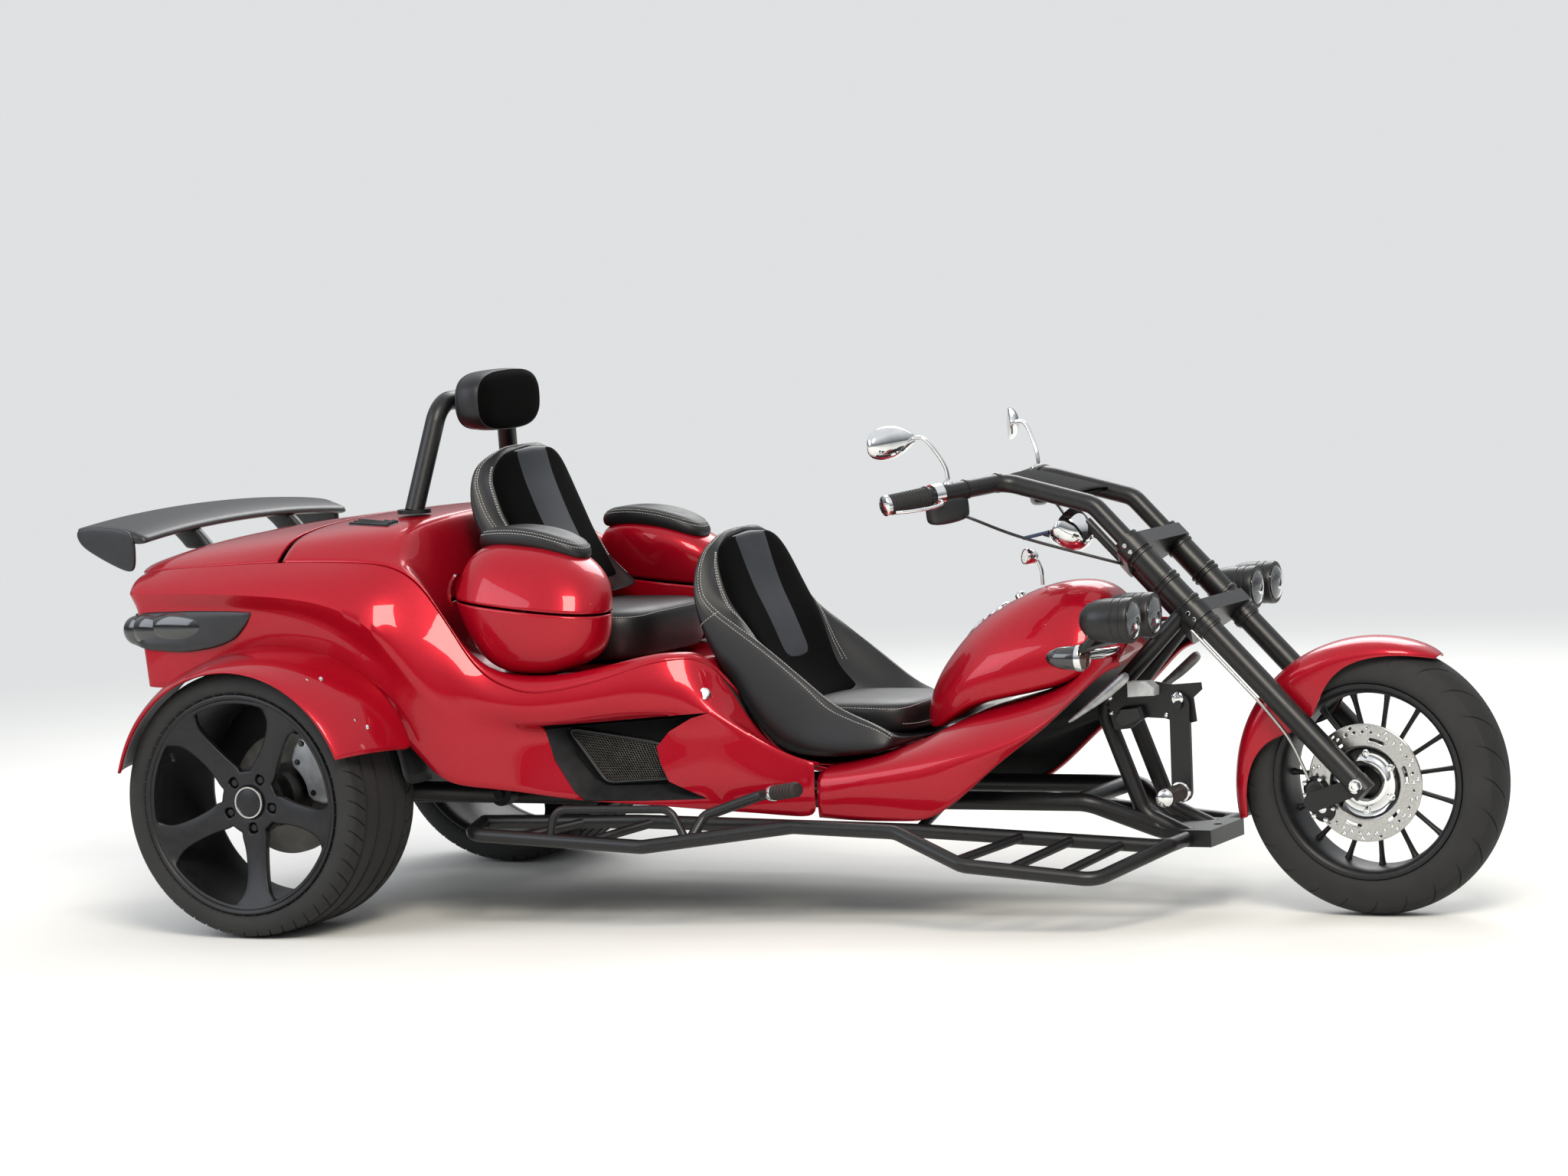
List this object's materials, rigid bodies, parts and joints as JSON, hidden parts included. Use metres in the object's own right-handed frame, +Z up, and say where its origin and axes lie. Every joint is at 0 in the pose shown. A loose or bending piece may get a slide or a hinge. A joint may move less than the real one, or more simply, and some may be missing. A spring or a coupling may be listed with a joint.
{
  "type": "motorized trike",
  "caption": "Rear-engined motor trike with a raked fork, tandem bucket seats, armrest pods, a hinged trunk lid with spoiler, running boards and spinning wheels.",
  "frame": {"origin": "on the ground, under the middle of the overall box", "axes": "+X forward, +Y to the vehicle's left, +Z up"},
  "size_m": [3.5509, 1.66, 1.3349],
  "materials": {
    "red_lacquer": "candy red metallic under clear coat",
    "satin_black_plastic": "satin black",
    "black_powder_coat": "satin black powder coat",
    "black_leather": "black leather with pale stitching",
    "tyre_rubber": "matt, dusty side walls",
    "black_alloy": "matt black alloy",
    "brake_steel": "turned steel",
    "cast_aluminium": "cast",
    "bright_chrome": "polished",
    "grip_rubber": "matt",
    "exhaust_steel": "satin",
    "smoked_lens": "smoked gloss",
    "plate_enamel": "bare white plate"
  },
  "bodies": {
    "chassis": {"frame": "black_powder_coat", "body_tub": "red_lacquer", "front_cowl": "red_lacquer", "fuel_tank": "red_lacquer", "fuel_cap": "bright_chrome", "engine": "cast_aluminium", "muffler": "exhaust_steel", "driver_seat": "black_leather", "passenger_cushion": "black_leather", "passenger_back": "black_leather", "roll_bar": "black_powder_coat", "headrest": "black_leather", "number_plate": "plate_enamel", "headlamps": "black_powder_coat", "brake_pedal": "black_powder_coat", "rear_arm_right": "black_powder_coat", "rear_arm_left": "black_powder_coat", "rear_caliper_right": "cast_aluminium", "rear_caliper_left": "cast_aluminium", "rear_fender_right": "red_lacquer", "rear_fender_left": "red_lacquer", "pod_bin_right": "red_lacquer", "pod_bin_left": "red_lacquer", "side_grille_right": "satin_black_plastic", "side_grille_left": "satin_black_plastic", "tail_lamp_right": "smoked_lens", "tail_lamp_left": "smoked_lens", "turn_signal_right": "bright_chrome", "turn_signal_left": "bright_chrome", "running_board_right": "black_powder_coat", "running_board_left": "black_powder_coat"},
    "steering": {"fork": "black_powder_coat", "handlebar": "black_powder_coat", "front_fender": "red_lacquer", "front_caliper": "black_powder_coat", "instrument_pod": "bright_chrome", "brake_hose": "brake_steel", "grip_right": "grip_rubber", "grip_left": "grip_rubber", "mirror_right": "bright_chrome", "mirror_left": "bright_chrome"},
    "front_wheel": {"front_rim": "black_alloy", "front_tyre": "tyre_rubber", "front_disc": "brake_steel"},
    "rear_wheel_right": {"rear_rim_right": "black_alloy", "rear_tyre_right": "tyre_rubber", "rear_hub_right": "brake_steel"},
    "rear_wheel_left": {"rear_rim_left": "black_alloy", "rear_tyre_left": "tyre_rubber", "rear_hub_left": "brake_steel"},
    "trunk": {"trunk_lid": "red_lacquer", "spoiler": "satin_black_plastic"},
    "armrest_right": {"pod_lid_right": "red_lacquer", "armrest_pad_right": "black_leather"},
    "armrest_left": {"pod_lid_left": "red_lacquer", "armrest_pad_left": "black_leather"}
  },
  "joints": [
    {"name": "steering_turn", "type": "hinge", "parent": "chassis", "child": "steering", "pos_m": [0.86048, 0, 0.85388], "axis": [-0.6921, 0, 0.7218], "range_deg": [-35, 35]},
    {"name": "front_wheel_spin", "type": "hinge", "parent": "steering", "child": "front_wheel", "pos_m": [1.4575, 0, 0.318], "axis": [0, 1, 0], "continuous": true},
    {"name": "rear_wheel_right_spin", "type": "hinge", "parent": "chassis", "child": "rear_wheel_right", "pos_m": [-1.1625, -0.64, 0.328], "axis": [0, 1, 0], "continuous": true},
    {"name": "rear_wheel_left_spin", "type": "hinge", "parent": "chassis", "child": "rear_wheel_left", "pos_m": [-1.1625, 0.64, 0.328], "axis": [0, 1, 0], "continuous": true},
    {"name": "trunk_open", "type": "hinge", "parent": "chassis", "child": "trunk", "pos_m": [-1.1525, 0, 0.98005], "axis": [0, 1, 0], "range_deg": [0, 60]},
    {"name": "armrest_right_open", "type": "hinge", "parent": "chassis", "child": "armrest_right", "pos_m": [-0.303, -0.381, 0.7665], "axis": [0, 1, 0], "range_deg": [0, 60]},
    {"name": "armrest_left_open", "type": "hinge", "parent": "chassis", "child": "armrest_left", "pos_m": [-0.303, 0.381, 0.7665], "axis": [0, 1, 0], "range_deg": [0, 60]}
  ]
}
